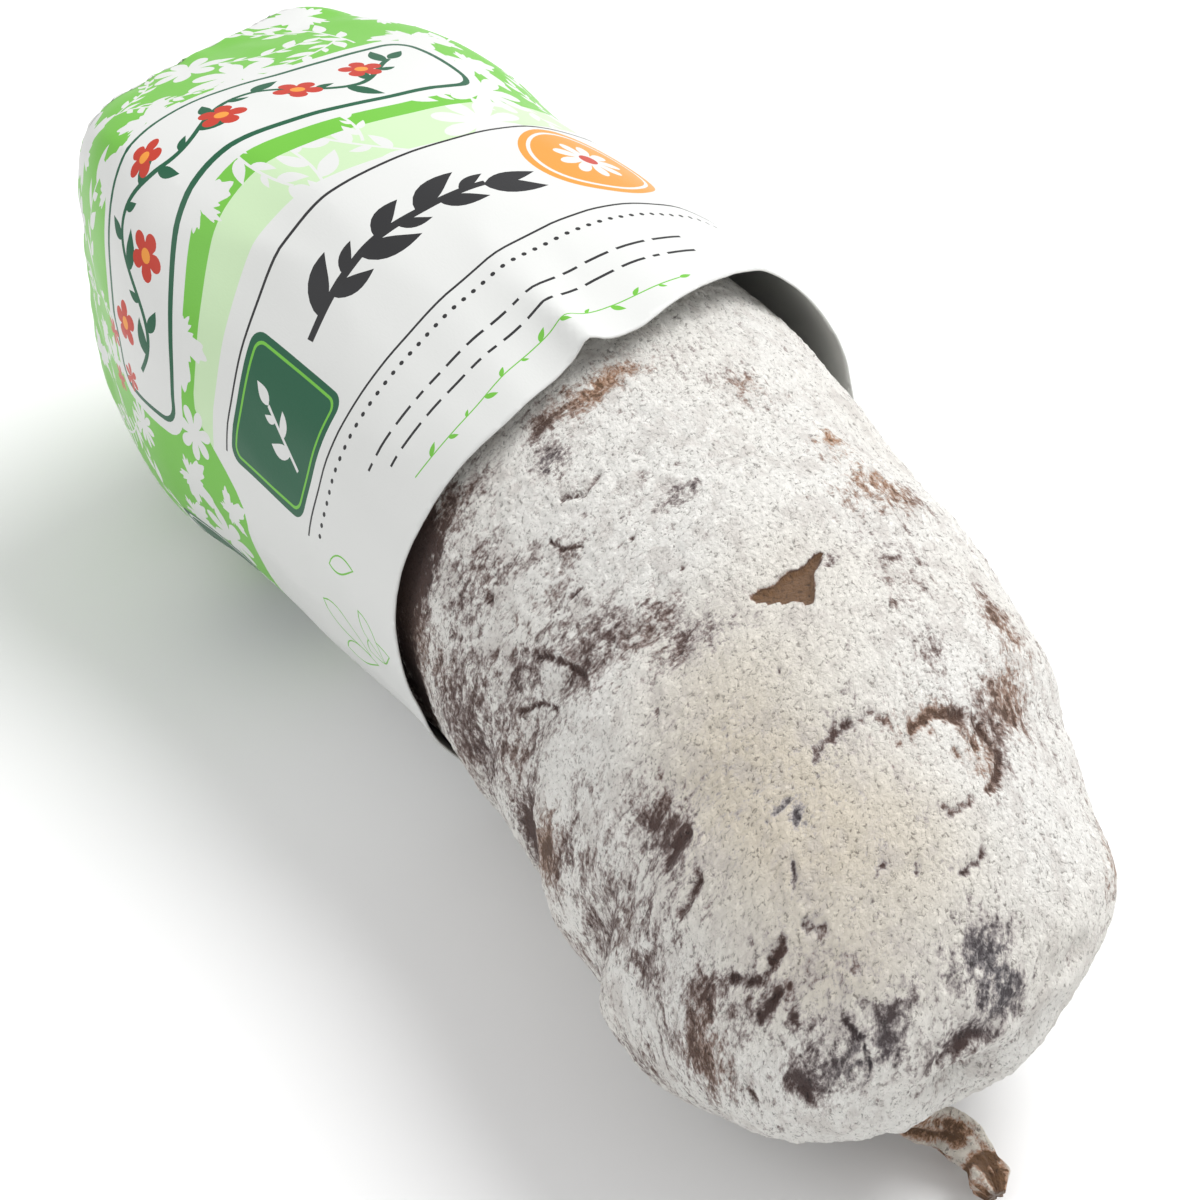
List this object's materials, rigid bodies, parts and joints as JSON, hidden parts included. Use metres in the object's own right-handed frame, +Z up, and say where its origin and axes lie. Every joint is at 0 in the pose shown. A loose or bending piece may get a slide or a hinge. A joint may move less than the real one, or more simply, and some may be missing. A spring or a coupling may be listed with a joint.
{
  "type": "cured sausage",
  "caption": "Short dry-cured sausage with a white mould bloom, a slight bend and a gathered neck, lying half inside a printed paper sleeve that is folded shut at one end.",
  "frame": {"origin": "middle of the footprint, on the surface the object lies on", "axes": "+X along the length from the sleeve's folded end to the sausage's gathered neck, +Z up, +Y on the outside of the bend"},
  "size_m": [0.1448, 0.061, 0.0557],
  "materials": {
    "casing": "dried natural casing, dusty white mould over dark brown, matt",
    "paper": "white wrapping paper printed in greens, smooth and slightly satin"
  },
  "bodies": {
    "root": {"sausage": "casing", "paper_sleeve": "paper"}
  },
  "joints": []
}
